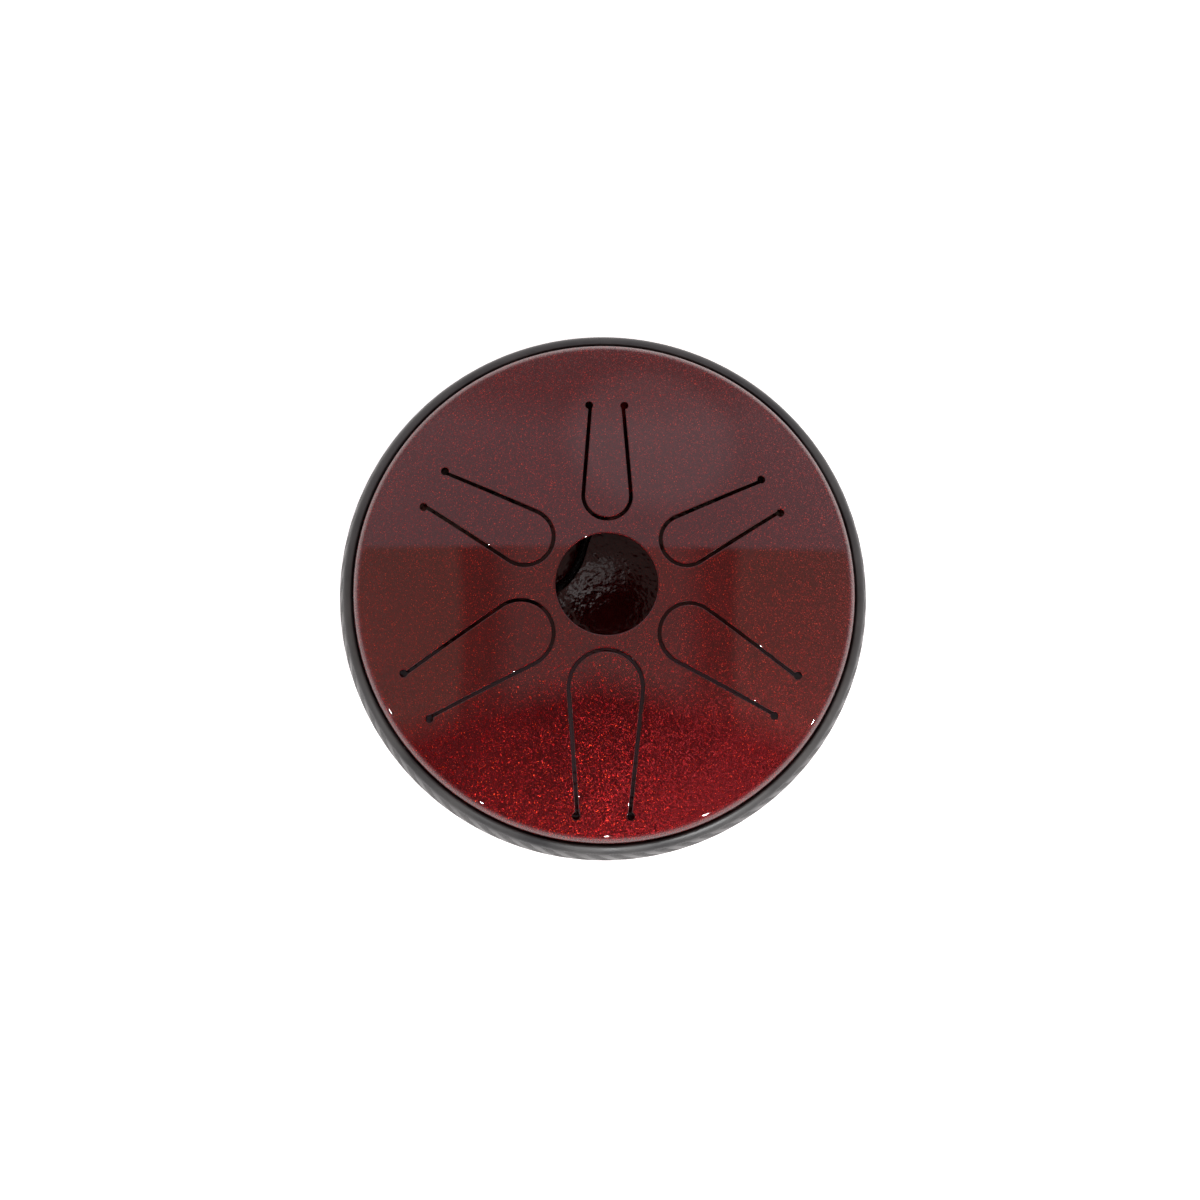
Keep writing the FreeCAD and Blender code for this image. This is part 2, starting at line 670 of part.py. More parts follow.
def rounded_path(points):
    """Straight runs joined by tangent arcs, each as large as its two runs allow."""
    edges = []
    tail = points[0]
    for before, corner, after in zip(points, points[1:], points[2:]):
        back = before.sub(corner)
        ahead = after.sub(corner)
        turn = math.pi - back.getAngle(ahead)
        trim = 0.45 * min(back.Length, ahead.Length)
        radius = trim / math.tan(turn / 2)
        print("lead bend: radius %.1f mm, turn %.0f degrees" % (radius, math.degrees(turn)))
        near = corner.add(V(back).normalize() * trim)
        far = corner.add(V(ahead).normalize() * trim)
        inward = V(back).normalize().add(V(ahead).normalize()).normalize()
        centre = corner.add(inward * (radius / math.cos(turn / 2)))
        middle = centre.sub(inward * radius)
        edges.append(Part.LineSegment(tail, near).toShape())
        edges.append(Part.Arc(near, middle, far).toShape())
        tail = far
    edges.append(Part.LineSegment(tail, points[-1]).toShape())
    return Part.Wire(edges)


def pickup_lead():
    points = lead_route()
    path = rounded_path(points)
    radius = value("lead_radius")
    section = Part.Wire([Part.Circle(points[0], points[1].sub(points[0]), radius).toShape()])
    tube = path.makePipeShell([section], True, True)
    expected = math.pi * radius ** 2 * path.Length
    print("lead: length %.1f mm, volume %.1f of %.1f mm3" % (path.Length, tube.Volume, expected))
    lead = doc.addObject("Part::Feature", "pickup_lead")
    lead.Shape = tube
    return lead


# ---- the whole drum ----

def build():
    fill_sheet()
    upper_outer, upper_inner = head_solids("upper_head", False, UPPER_EDGE)
    lower_outer, lower_inner = head_solids("lower_head", True, LOWER_EDGE)
    nodes = [top_shell(upper_outer, upper_inner), bottom_shell(lower_outer, lower_inner)]
    nodes += [seam_weld(), rubber_rim()]
    nodes += [foot(place, azimuth, lower_outer) for place, azimuth in FEET]
    nodes += foot_hardware(lower_inner)
    nodes += jack_pieces(lower_outer, lower_inner)
    nodes += pickup_pieces(upper_inner)
    nodes.append(pickup_lead())
    return nodes


def write(nodes):
    doc.recompute()
    faults = [thing.Name for thing in doc.Objects
              if "Invalid" in thing.State or "Error" in thing.State]
    for node in nodes:
        if node.Shape.isNull() or not node.Shape.isValid() or not node.Shape.Solids:
            faults.append(node.Name)
    if faults:
        print("faulty objects:", ", ".join(faults))
        sys.exit(1)
    os.makedirs("parts", exist_ok=True)
    for node in nodes:
        node.Label = node.Name
        node.Shape.exportStep("parts/%s.step" % node.Label)
        print("%-22s solids %d  volume %.1f" % (node.Label, len(node.Shape.Solids), node.Shape.Volume))


write(build())
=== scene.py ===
import math
import bpy
import numpy as np
from mathutils import Matrix, Vector
from mathutils.geometry import delaunay_2d_cdt


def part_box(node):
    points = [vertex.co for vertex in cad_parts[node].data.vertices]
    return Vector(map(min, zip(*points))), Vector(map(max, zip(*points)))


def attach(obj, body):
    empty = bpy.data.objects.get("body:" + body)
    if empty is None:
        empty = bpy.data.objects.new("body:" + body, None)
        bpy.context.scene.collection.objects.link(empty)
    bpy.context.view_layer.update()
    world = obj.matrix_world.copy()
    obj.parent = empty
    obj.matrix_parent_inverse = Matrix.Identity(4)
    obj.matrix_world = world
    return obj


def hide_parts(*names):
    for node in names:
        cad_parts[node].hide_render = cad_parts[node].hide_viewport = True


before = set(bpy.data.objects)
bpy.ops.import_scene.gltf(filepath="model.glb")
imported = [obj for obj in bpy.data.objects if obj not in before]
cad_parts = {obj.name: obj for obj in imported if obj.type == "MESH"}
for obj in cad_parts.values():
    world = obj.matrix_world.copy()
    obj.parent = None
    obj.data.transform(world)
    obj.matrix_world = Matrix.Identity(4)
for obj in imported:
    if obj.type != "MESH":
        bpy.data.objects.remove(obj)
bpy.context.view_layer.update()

# ---- sizes, in millimetres, as in the CAD part ----

MM = 0.001
SHELL_RADIUS = 101.6
CROWN_RADIUS = 196.0
KNUCKLE_RADIUS = 6.0
STEEL = 2.0
HOLE_RADIUS = 20.5
LIP_ROUNDING = 0.7
TIP_CIRCLE = 26.5
SLOT_WIDTH = 1.3
RELIEF_RADIUS = 1.5
RELIEF_OFFSET = 0.5
FLAKE_SCALE = 3500.0
PAINT_ROUNDING = 0.45
FOOT_CIRCLE = 60.0
FOOT_HOLE_RADIUS = 2.2
# azimuth in degrees, length, half width at the relief holes, radius of the head
TONGUES = [
    (270, 64.8, 11.05, 14.95),
    (210, 60.8, 10.55, 13.45),
    (330, 57.9, 9.45, 12.3),
    (150, 53.4, 8.45, 11.45),
    (30, 50.2, 7.75, 10.3),
    (90, 48.0, 7.1, 9.6),
]

UPPER_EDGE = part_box("top_shell")[0][2] / MM
LOWER_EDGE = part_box("bottom_shell")[1][2] / MM
SEAM = (UPPER_EDGE + LOWER_EDGE) / 2
RISE = CROWN_RADIUS - math.sqrt((CROWN_RADIUS - KNUCKLE_RADIUS) ** 2
                                - (SHELL_RADIUS - KNUCKLE_RADIUS) ** 2)
SKIRT = (LOWER_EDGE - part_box("bottom_shell")[0][2] / MM) - RISE
HEAD_HEIGHT = RISE + SKIRT
KNUCKLE_LEAN = math.asin((SHELL_RADIUS - KNUCKLE_RADIUS) / (CROWN_RADIUS - KNUCKLE_RADIUS))


# ---- camera ----

CAMERA_ELEVATION = 82.09
CAMERA_AZIMUTH = -13.65
CAMERA_ROLL = 14.13
CAMERA_DISTANCE = 3.640
FRAME_WIDTH = 0.4853
FRAME_OFFSET = (-0.0017, -0.0024)


def make_camera():
    """Long lens, almost straight above; the frame is centred beside the visible shell edge."""
    data = bpy.data.cameras.new("camera")
    data.sensor_width = 36.0
    data.lens = data.sensor_width * CAMERA_DISTANCE / FRAME_WIDTH
    camera = bpy.data.objects.new("camera", data)
    bpy.context.scene.collection.objects.link(camera)
    azimuth = math.radians(CAMERA_AZIMUTH)
    elevation = math.radians(CAMERA_ELEVATION)
    back = Vector((math.sin(azimuth) * math.cos(elevation), -math.cos(azimuth) * math.cos(elevation),
                   math.sin(elevation)))
    turn = back.to_track_quat("Z", "Y").to_matrix().to_4x4()
    turn = turn @ Matrix.Rotation(math.radians(CAMERA_ROLL), 4, "Z")
    aim = Vector((0, 0, (UPPER_EDGE + SKIRT) * MM))
    place = aim + back * CAMERA_DISTANCE
    place += turn.to_3x3() @ Vector((FRAME_OFFSET[0], FRAME_OFFSET[1], 0))
    camera.matrix_world = Matrix.Translation(place) @ turn
    bpy.context.scene.camera = camera


# ---- node helpers ----

class Graph:
    """Small helper that adds and joins the nodes of one material or world."""

    def __init__(self, owner):
        owner.use_nodes = True
        self.tree = owner.node_tree
        self.tree.nodes.clear()

    def add(self, kind, **settings):
        node = self.tree.nodes.new(kind)
        for name, setting in settings.items():
            if name[0].isupper():
                node.inputs[name.replace("_", " ")].default_value = setting
            else:
                setattr(node, name, setting)
        return node

    def join(self, source, output, target, socket):
        self.tree.links.new(source.outputs[output], target.inputs[socket])

    def ramp(self, stops, interpolation="LINEAR"):
        node = self.tree.nodes.new("ShaderNodeValToRGB")
        node.color_ramp.interpolation = interpolation
        while len(node.color_ramp.elements) < len(stops):
            node.color_ramp.elements.new(0.5)
        for element, (place, colour) in zip(node.color_ramp.elements, stops):
            element.position = place
            element.color = (*colour, 1.0) if len(colour) == 3 else colour
        return node


def new_material(name):
    material = bpy.data.materials.new(name)
    graph = Graph(material)
    output = graph.add("ShaderNodeOutputMaterial")
    shader = graph.add("ShaderNodeBsdfPrincipled")
    graph.join(shader, "BSDF", output, "Surface")
    place = graph.add("ShaderNodeTexCoord")
    return material, graph, shader, place


def add_noise(graph, place, scale, detail=3.0, roughness=0.55):
    noise = graph.add("ShaderNodeTexNoise", Scale=scale, Detail=detail, Roughness=roughness)
    graph.join(place, "Object", noise, "Vector")
    return noise


def add_bump(graph, source, output, shader, strength, distance, socket="Normal"):
    bump = graph.add("ShaderNodeBump", Strength=strength, Distance=distance)
    graph.join(source, output, bump, "Height")
    graph.join(bump, "Normal", shader, socket)
    return bump


# ---- materials ----

def flake_lacquer():
    """Deep candy red over fine metal flake, under a thick clear coat with faint orange peel."""
    material, graph, shader, place = new_material("flake_lacquer")
    flakes = graph.add("ShaderNodeTexVoronoi", Scale=FLAKE_SCALE, Randomness=1.0)
    graph.join(place, "Object", flakes, "Vector")
    split = graph.add("ShaderNodeSeparateColor")
    graph.join(flakes, "Color", split, "Color")
    tint = graph.ramp([(0.0, (0.055, 0.0012, 0.0020)), (0.70, (0.085, 0.0016, 0.0028)),
                       (0.90, (0.14, 0.0014, 0.0026)), (0.97, (0.30, 0.0030, 0.0036)),
                       (1.0, (0.62, 0.035, 0.008))])
    graph.join(split, "Red", tint, "Fac")
    cloud = add_noise(graph, place, 28.0)
    shade = graph.ramp([(0.3, (0.85, 0.85, 0.85)), (0.7, (1.0, 1.0, 1.0))])
    graph.join(cloud, "Fac", shade, "Fac")
    blend = graph.add("ShaderNodeMix", data_type="RGBA", blend_type="MULTIPLY")
    blend.inputs[0].default_value = 1.0
    graph.tree.links.new(tint.outputs["Color"], blend.inputs[6])
    graph.tree.links.new(shade.outputs["Color"], blend.inputs[7])
    graph.tree.links.new(blend.outputs[2], shader.inputs["Base Color"])
    centred = graph.add("ShaderNodeVectorMath", operation="SUBTRACT")
    centred.inputs[1].default_value = (0.5, 0.5, 0.5)
    graph.join(flakes, "Color", centred, 0)
    tilt = graph.add("ShaderNodeVectorMath", operation="SCALE")
    tilt.inputs["Scale"].default_value = 0.66
    graph.join(centred, "Vector", tilt, 0)
    surface = graph.add("ShaderNodeNewGeometry")
    leaning = graph.add("ShaderNodeVectorMath", operation="ADD")
    graph.join(surface, "Normal", leaning, 0)
    graph.join(tilt, "Vector", leaning, 1)
    unit = graph.add("ShaderNodeVectorMath", operation="NORMALIZE")
    graph.join(leaning, "Vector", unit, 0)
    graph.join(unit, "Vector", shader, "Normal")
    peel = add_noise(graph, place, 420.0, 2.0)
    add_bump(graph, peel, "Fac", shader, 0.04, 0.0002, "Coat Normal")
    gloss = graph.ramp([(0.35, (0.30, 0.30, 0.30)), (0.75, (0.40, 0.40, 0.40))])
    graph.join(cloud, "Fac", gloss, "Fac")
    graph.join(gloss, "Color", shader, "Roughness")
    shader.inputs["Metallic"].default_value = 0.92
    shader.inputs["Coat Weight"].default_value = 1.0
    shader.inputs["Coat Roughness"].default_value = 0.02
    shader.inputs["Coat IOR"].default_value = 1.5
    return material


def overspray():
    """Thin, pebbly lacquer that drifted into the drum over dark primer."""
    material, graph, shader, place = new_material("overspray")
    cloud = add_noise(graph, place, 55.0, 4.0)
    tint = graph.ramp([(0.3, (0.10, 0.002, 0.002)), (0.7, (0.17, 0.004, 0.004))])
    graph.join(cloud, "Fac", tint, "Fac")
    graph.join(tint, "Color", shader, "Base Color")
    pebble = add_noise(graph, place, 420.0, 1.0)
    add_bump(graph, pebble, "Fac", shader, 0.3, 0.0004)
    gloss = graph.ramp([(0.35, (0.05, 0.05, 0.05)), (0.7, (0.14, 0.14, 0.14))])
    graph.join(cloud, "Fac", gloss, "Fac")
    graph.join(gloss, "Color", shader, "Roughness")
    shader.inputs["Specular IOR Level"].default_value = 0.2
    return material


def rubber(name, dark, pale, roughness, dust=0.5):
    """Moulded black rubber with a faint grain and a grey bloom in patches."""
    material, graph, shader, place = new_material(name)
    patches = add_noise(graph, place, 38.0, 5.0, 0.6)
    tint = graph.ramp([(0.35, dark), (0.35 + dust * 0.7, pale)])
    graph.join(patches, "Fac", tint, "Fac")
    graph.join(tint, "Color", shader, "Base Color")
    sheen = graph.ramp([(0.3, (roughness - 0.08,) * 3), (0.7, (roughness + 0.1,) * 3)])
    graph.join(patches, "Fac", sheen, "Fac")
    graph.join(sheen, "Color", shader, "Roughness")
    grain = add_noise(graph, place, 2600.0, 2.0)
    add_bump(graph, grain, "Fac", shader, 0.16, 0.0001)
    return material


def plated(name, colour, roughness, metallic=1.0, grain_scale=1500.0):
    """Plated or bare metal with fine grain and slight staining."""
    material, graph, shader, place = new_material(name)
    stain = add_noise(graph, place, 160.0, 4.0)
    worn = tuple(part * 0.72 for part in colour)
    tint = graph.ramp([(0.3, worn), (0.65, colour)])
    graph.join(stain, "Fac", tint, "Fac")
    graph.join(tint, "Color", shader, "Base Color")
    gloss = graph.ramp([(0.3, (roughness + 0.12,) * 3), (0.7, (roughness,) * 3)])
    graph.join(stain, "Fac", gloss, "Fac")
    graph.join(gloss, "Color", shader, "Roughness")
    grain = add_noise(graph, place, grain_scale, 2.0)
    add_bump(graph, grain, "Fac", shader, 0.12, 0.0001)
    shader.inputs["Metallic"].default_value = metallic
    return material


def moulded(name, colour, roughness):
    """Plastic, resin, foam or ceramic: mottled a little, with a fine moulded grain."""
    return plated(name, colour, roughness, 0.0, 1900.0)


# ---- meshes ----

def crown_height(radius, inset=0.0):
    """Height of the head's crown above the head's own open edge."""
    return HEAD_HEIGHT - CROWN_RADIUS + np.sqrt((CROWN_RADIUS - inset) ** 2 - radius ** 2)


def slot_loop(azimuth, length, root, head, grow):
    """Closed outline round one tongue's slot and its relief holes, grown outwards by a margin."""
    half = SLOT_WIDTH / 2 + grow
    bulb = RELIEF_RADIUS + grow
    centre = np.array([TIP_CIRCLE + head, 0.0])
    end = np.array([TIP_CIRCLE + length, root - RELIEF_OFFSET])
    reach = end - centre
    touch = math.atan2(reach[1], reach[0]) + math.acos(head / np.linalg.norm(reach))
    side = np.array([math.cos(touch), math.sin(touch)])
    along = np.array([side[1], -side[0]])
    relief = end + side * RELIEF_OFFSET
    outer_back = math.sqrt(bulb ** 2 - (half - RELIEF_OFFSET) ** 2)
    inner_back = math.sqrt(bulb ** 2 - (half + RELIEF_OFFSET) ** 2)
    # outer flank, from the head back to the relief hole
    start = centre + side * (head + half)
    stop = relief + side * (half - RELIEF_OFFSET) - along * outer_back
    points = [start + (stop - start) * t for t in np.linspace(0, 1, 30)[:-1]]
    # round the relief hole
    first = math.atan2(half - RELIEF_OFFSET, -outer_back)
    last = -math.atan2(half + RELIEF_OFFSET, -inner_back)
    for angle in np.linspace(first, last, 22)[:-1]:
        points.append(relief + bulb * (along * math.cos(angle) + side * math.sin(angle)))
    # inner flank, forward to the head
    start = relief - side * (half + RELIEF_OFFSET) - along * inner_back
    stop = centre + side * (head - half)
    points += [start + (stop - start) * t for t in np.linspace(0, 1, 30)[:-1]]
    # round the inside of the head to the axis
    for angle in np.linspace(touch, math.pi, 26):
        points.append(centre + (head - half) * np.array([math.cos(angle), math.sin(angle)]))
    # the same backwards on the other side of the axis, then the outside of the head
    points += [point * (1, -1) for point in points[-2::-1]]
    for angle in np.linspace(2 * math.pi - touch, touch, 52)[1:-1]:
        points.append(centre + (head + half) * np.array([math.cos(angle), math.sin(angle)]))
    turn = math.radians(azimuth)
    spin = np.array([[math.cos(turn), -math.sin(turn)], [math.sin(turn), math.cos(turn)]])
    return np.array(points) @ spin.T


def circle_loop(radius, count, centre=(0.0, 0.0)):
    angles = np.arange(count) * 2 * math.pi / count
    return np.stack([np.cos(angles), np.sin(angles)], axis=1) * radius + np.array(centre)


def inside(points, loop):
    """Which points lie inside a closed loop."""
    result = np.zeros(len(points), bool)
    for (x0, y0), (x1, y1) in zip(loop, np.roll(loop, -1, axis=0)):
        crosses = (y0 > points[:, 1]) != (y1 > points[:, 1])
        if y0 != y1:
            result ^= crosses & (points[:, 0] < (x1 - x0) * (points[:, 1] - y0) / (y1 - y0) + x0)
    return result


def grid_points(limit, loops, spacing):
    """Evenly spread points on the crown that keep clear of every loop."""
    steps = np.arange(-limit, limit, spacing)
    rows = [np.stack([steps + (i % 2) * spacing / 2, np.full(len(steps), y)], axis=1)
            for i, y in enumerate(np.arange(-limit, limit, spacing * 0.87))]
    points = np.concatenate(rows)
    keep = np.hypot(points[:, 0], points[:, 1]) < limit - spacing * 0.6
    for loop in loops:
        gaps = np.min(np.linalg.norm(points[:, None, :] - loop[None, :, :], axis=2), axis=1)
        keep &= (gaps > spacing * 0.5) & ~inside(points, loop)
    return points[keep]


def triangulate(loops, boundary, spacing):
    """Triangles between the boundary and the loops. The loops' own points come first, in order."""
    every = loops + [boundary]
    inner = grid_points(np.linalg.norm(boundary[0]), loops, spacing)
    points = np.concatenate(every + [inner])
    edges = []
    first = 0
    for loop in every:
        edges += [(first + i, first + (i + 1) % len(loop)) for i in range(len(loop))]
        first += len(loop)
    result = delaunay_2d_cdt([Vector(point) for point in points], edges, [], 0, 1e-6)
    flat = np.array([tuple(point) for point in result[0]])
    faces = np.array([face for face in result[2]])
    middles = flat[faces].mean(axis=1)
    keep = inside(middles, boundary)
    for loop in loops:
        keep &= ~inside(middles, loop)
    return flat, faces[keep]


def wind_outwards(verts, normals, polygons):
    """Turn round every face whose corners run against its corner normals."""
    first = np.array([face[:3] for face in polygons])
    a, b, c = verts[first[:, 0]], verts[first[:, 1]], verts[first[:, 2]]
    facing = (np.cross(b - a, c - a) * normals[first].sum(axis=1)).sum(axis=1)
    return [face if way > 0 else face[::-1] for face, way in zip(polygons, facing)]


def head_arrays(holes, edge_segments, spacing):
    """Vertices, normals and faces of one steel head, its open edge at height 0, opening down.

    Each hole is (stack of loops from its wall outwards, their distances from the wall, rounding).
    """
    tangent = SHELL_RADIUS - KNUCKLE_RADIUS + KNUCKLE_RADIUS * math.sin(KNUCKLE_LEAN)
    inner_tangent = tangent - STEEL * math.sin(KNUCKLE_LEAN)
    boundary = circle_loop(tangent, edge_segments)
    flat, faces = triangulate([stack[-1] for stack, _, _ in holes], boundary, spacing)
    verts, normals, polygons = [], [], []

    def add(rows, directions):
        first = len(verts)
        verts.extend(rows)
        normals.extend(directions)
        return first

    def strip(low, high, count):
        for i in range(count):
            j = (i + 1) % count
            polygons.append([low + i, low + j, high + j, high + i])

    def skin(inset, sign):
        """One face of the sheet: the triangulated crown and the rounded rings at each hole."""
        size = CROWN_RADIUS - inset
        plan = flat.copy()
        if inset:
            radii = np.hypot(plan[:, 0], plan[:, 1])
            near_edge = np.clip((radii - (tangent - 4)) / 4, 0, 1)
            plan *= (1 - near_edge * (1 - inner_tangent / tangent))[:, None]
        height = crown_height(np.hypot(plan[:, 0], plan[:, 1]), inset)
        rows = np.column_stack([plan, height])
        outward = np.column_stack([plan / size, np.sqrt(1 - (plan ** 2).sum(axis=1) / size ** 2)])
        first = add(rows, outward * sign)
        polygons.extend([first + int(index) for index in face] for face in faces)
        walls = []
        start = first
        for stack, distances, rounding in holes:
            count = len(stack[0])
            previous = start
            for loop, distance in list(zip(stack, distances))[-2::-1]:
                lean = min(1.0, max(0.0, (rounding - distance) / rounding))
                drop = rounding * (1 - math.sqrt(1 - lean ** 2))
                level = crown_height(np.hypot(loop[:, 0], loop[:, 1]), inset) - drop * sign
                towards = stack[0] - stack[-1]
                towards = towards / np.linalg.norm(towards, axis=1)[:, None]
                up = np.column_stack([loop / size, np.sqrt(1 - (loop ** 2).sum(axis=1) / size ** 2)])
                across = np.column_stack([towards, np.zeros(count)])
                mixed = up * sign * math.sqrt(1 - lean ** 2) + across * lean
                mixed /= np.linalg.norm(mixed, axis=1)[:, None]
                ring = add(np.column_stack([loop, level]), mixed)
                strip(previous, ring, count)
                previous = ring
            walls.append((previous, count))
            start += count
        return start, walls

    outer_edge, outer_walls = skin(0.0, 1)
    inner_edge, inner_walls = skin(STEEL, -1)
    for (top, count), (bottom, _) in zip(outer_walls, inner_walls):
        strip(top, bottom, count)
    around = circle_loop(1.0, edge_segments)

    def flange(previous, inset, sign):
        """Knuckle and skirt, ring by ring, down to the open edge."""
        rounding = KNUCKLE_RADIUS - inset
        middle = SHELL_RADIUS - KNUCKLE_RADIUS
        leans = list(np.linspace(KNUCKLE_LEAN, math.pi / 2, 13)[1:])
        levels = [(middle + rounding * math.sin(a), SKIRT + rounding * math.cos(a), a) for a in leans]
        levels += [(middle + rounding, SKIRT * part, math.pi / 2) for part in (0.5, 0.0)]
        for radius, height, lean in levels:
            rows = np.column_stack([around * radius, np.full(edge_segments, height)])
            out = np.column_stack([around * math.sin(lean), np.full(edge_segments, math.cos(lean))])
            ring = add(rows, out * sign)
            strip(previous, ring, edge_segments)
            previous = ring
        return previous

    outer_rim = flange(outer_edge, 0.0, 1)
    inner_rim = flange(inner_edge, STEEL, -1)
    strip(outer_rim, inner_rim, edge_segments)
    verts, normals = np.array(verts), np.array(normals)
    return verts, normals, wind_outwards(verts, normals, polygons)


def finish_mesh(name, verts, normals, polygons, materials):
    """Make an object in metres, shaded with its own exact normals."""
    mesh = bpy.data.meshes.new(name)
    mesh.from_pydata((verts * MM).tolist(), [], polygons)
    for material in materials:
        mesh.materials.append(material)
    mesh.shade_smooth()
    if normals is not None:
        mesh.normals_split_custom_set_from_vertices(normals.tolist())
    piece = bpy.data.objects.new(name, mesh)
    bpy.context.scene.collection.objects.link(piece)
    return piece


# Inside this radius the head is a plain crown, and its faces are sorted by their lean from the
# crown's normal.
CROWN_PAINT_EDGE = 92.0
WALL_LEAN = 0.45


def paint_inside(piece, sign, slot, painted_shade_slot):
    """Give faces that look into the drum the overspray material, and walls of cuts a near-black one:
    painted shade that darkens the slots and holes.
    """
    for polygon in piece.data.polygons:
        x, y = (polygon.center / MM).xy
        lean = polygon.normal
        outward = lean.x * x + lean.y * y
        upright = math.sqrt(max(0.0, CROWN_RADIUS ** 2 - x * x - y * y))
        facing = (outward + lean.z * sign * upright) / CROWN_RADIUS
        if math.hypot(x, y) < CROWN_PAINT_EDGE:
            if facing < WALL_LEAN:
                # walls of cuts get the near-black material, painted shade inside the slots and holes
                polygon.material_index = painted_shade_slot if facing > -WALL_LEAN else slot
        elif lean.z * sign < -0.2 or (abs(lean.z) < 0.3 and outward < 0):
            polygon.material_index = slot


def top_head(lacquer, inside_finish, shaded_cut_wall):
    """Top head: six tongues between softened slots, round a lipped sound hole."""
    margins = [PAINT_ROUNDING * part for part in (0.0, 0.1, 0.28, 0.5, 0.75, 1.0)] + [0.7]
    holes = []
    for azimuth, length, root, head in TONGUES:
        stack = [slot_loop(azimuth, length, root, head, margin) for margin in margins]
        holes.append((stack, margins, PAINT_ROUNDING))
    lips = [LIP_ROUNDING * part for part in (0.0, 0.1, 0.28, 0.5, 0.75, 1.0)] + [1.0]
    stack = [circle_loop(HOLE_RADIUS + margin, 144)[::-1] for margin in lips]
    holes.append((stack, lips, LIP_ROUNDING))
    verts, normals, polygons = head_arrays(holes, 288, 3.2)
    verts[:, 2] += UPPER_EDGE
    piece = finish_mesh("top_head", verts, normals, polygons,
                        [lacquer, inside_finish, shaded_cut_wall])
    paint_inside(piece, 1, 1, 2)
    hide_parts("top_shell")
    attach(piece, "root")


def bottom_head(lacquer, inside_finish, shaded_cut_wall):
    """Bottom head: the same dish turned over, with the four screw holes."""
    margins = [0.0, 0.1, 0.3, 0.6]
    holes = []
    for azimuth in (45, 135, 225, 315):
        turn = math.radians(azimuth)
        centre = (FOOT_CIRCLE * math.cos(turn), FOOT_CIRCLE * math.sin(turn))
        stack = [circle_loop(FOOT_HOLE_RADIUS + margin, 32, centre)[::-1] for margin in margins]
        holes.append((stack, margins, 0.3))
    verts, normals, polygons = head_arrays(holes, 288, 3.2)
    verts = verts * (1, 1, -1)
    normals = normals * (1, 1, -1)
    verts[:, 2] += LOWER_EDGE
    polygons = wind_outwards(verts, normals, polygons)
    piece = finish_mesh("bottom_head", verts, normals, polygons,
                        [lacquer, inside_finish, shaded_cut_wall])
    paint_inside(piece, -1, 1, 2)
    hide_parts("bottom_shell")
    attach(piece, "root")


# ---- rubber rim ----

RIM_THICKNESS = 5.2
JOINT_AZIMUTH = 91.3
JOINT_GAP = 0.15
TREAD_GROUPS = 72
TREAD_LINES = 4
TREAD_PITCH = 1.25
TREAD_SLANT = 0.75
TREAD_DEPTH = 0.42
AROUND = 2160


def rim_profile():
    """Half outline of the rim, from its inner face over the bead to the middle of the tread."""
    return [(0.0, 0.0), (0.0, 5.0), (0.0, 9.3), (0.12, 10.2), (0.42, 10.95), (0.62, 11.35),
            (0.82, 11.62), (1.1, 11.74), (1.4, 11.68), (1.7, 11.5), (2.1, 11.24), (2.6, 10.85),
            (3.1, 10.4), (3.6, 9.9), (3.9, 9.45), (4.1, 9.0), (4.3, 8.3), (4.48, 7.5),
            (4.64, 6.6), (4.78, 5.6), (4.9, 4.6), (5.0, 3.6), (5.08, 2.6), (5.15, 1.6),
            (5.18, 0.8), (5.2, 0.0)]


def tread_depth(arc, height):
    """How deep the tread is cut at a place, from slanted grooves that come in groups."""
    period = 2 * math.pi * (SHELL_RADIUS + RIM_THICKNESS) / TREAD_GROUPS
    lean = arc + abs(height) * TREAD_SLANT
    place = np.mod(lean, period)
    span = TREAD_LINES * TREAD_PITCH
    wave = 0.5 - 0.5 * np.cos(2 * math.pi * place / TREAD_PITCH)
    cut = np.clip((wave - 0.45) / 0.3, 0, 1) * (place < span)
    fade = np.clip((9.4 - np.abs(height)) / 0.7, 0, 1)
    return TREAD_DEPTH * cut * fade


def rubber_rim(material):
    """Tyre-like band with a rolled bead, plain shoulders and fine slanted tread grooves."""
    half = rim_profile()
    outline = half + [(offset, -height) for offset, height in half[-2:0:-1]]
    gap = JOINT_GAP / SHELL_RADIUS
    start = math.radians(JOINT_AZIMUTH) + gap / 2
    angles = start + np.linspace(0, 2 * math.pi - gap, AROUND + 1)
    columns = []
    for offset, height in outline:
        radius = np.full(len(angles), SHELL_RADIUS + offset)
        if offset > 3.0:
            radius -= tread_depth(angles * (SHELL_RADIUS + RIM_THICKNESS), height)
        columns.append(np.column_stack([radius * np.cos(angles), radius * np.sin(angles),
                                        np.full(len(angles), SEAM + height)]))
    count = len(outline)
    verts = np.stack(columns, axis=1).reshape(-1, 3)
    polygons = []
    for i in range(AROUND):
        for j in range(count):
            k = (j + 1) % count
            polygons.append([i * count + j, i * count + k, (i + 1) * count + k, (i + 1) * count + j])
    polygons.append(list(range(count))[::-1])
    polygons.append([AROUND * count + j for j in range(count)])
    piece = finish_mesh("rim_band", verts, None, polygons, [material])
    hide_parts("rubber_rim")
    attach(piece, "root")


# ---- CAD nodes that keep their shape ----

def dress(node, material):
    """Give a CAD node its finish."""
    piece = bpy.data.objects[node]
    piece.data.materials.clear()
    piece.data.materials.append(material)


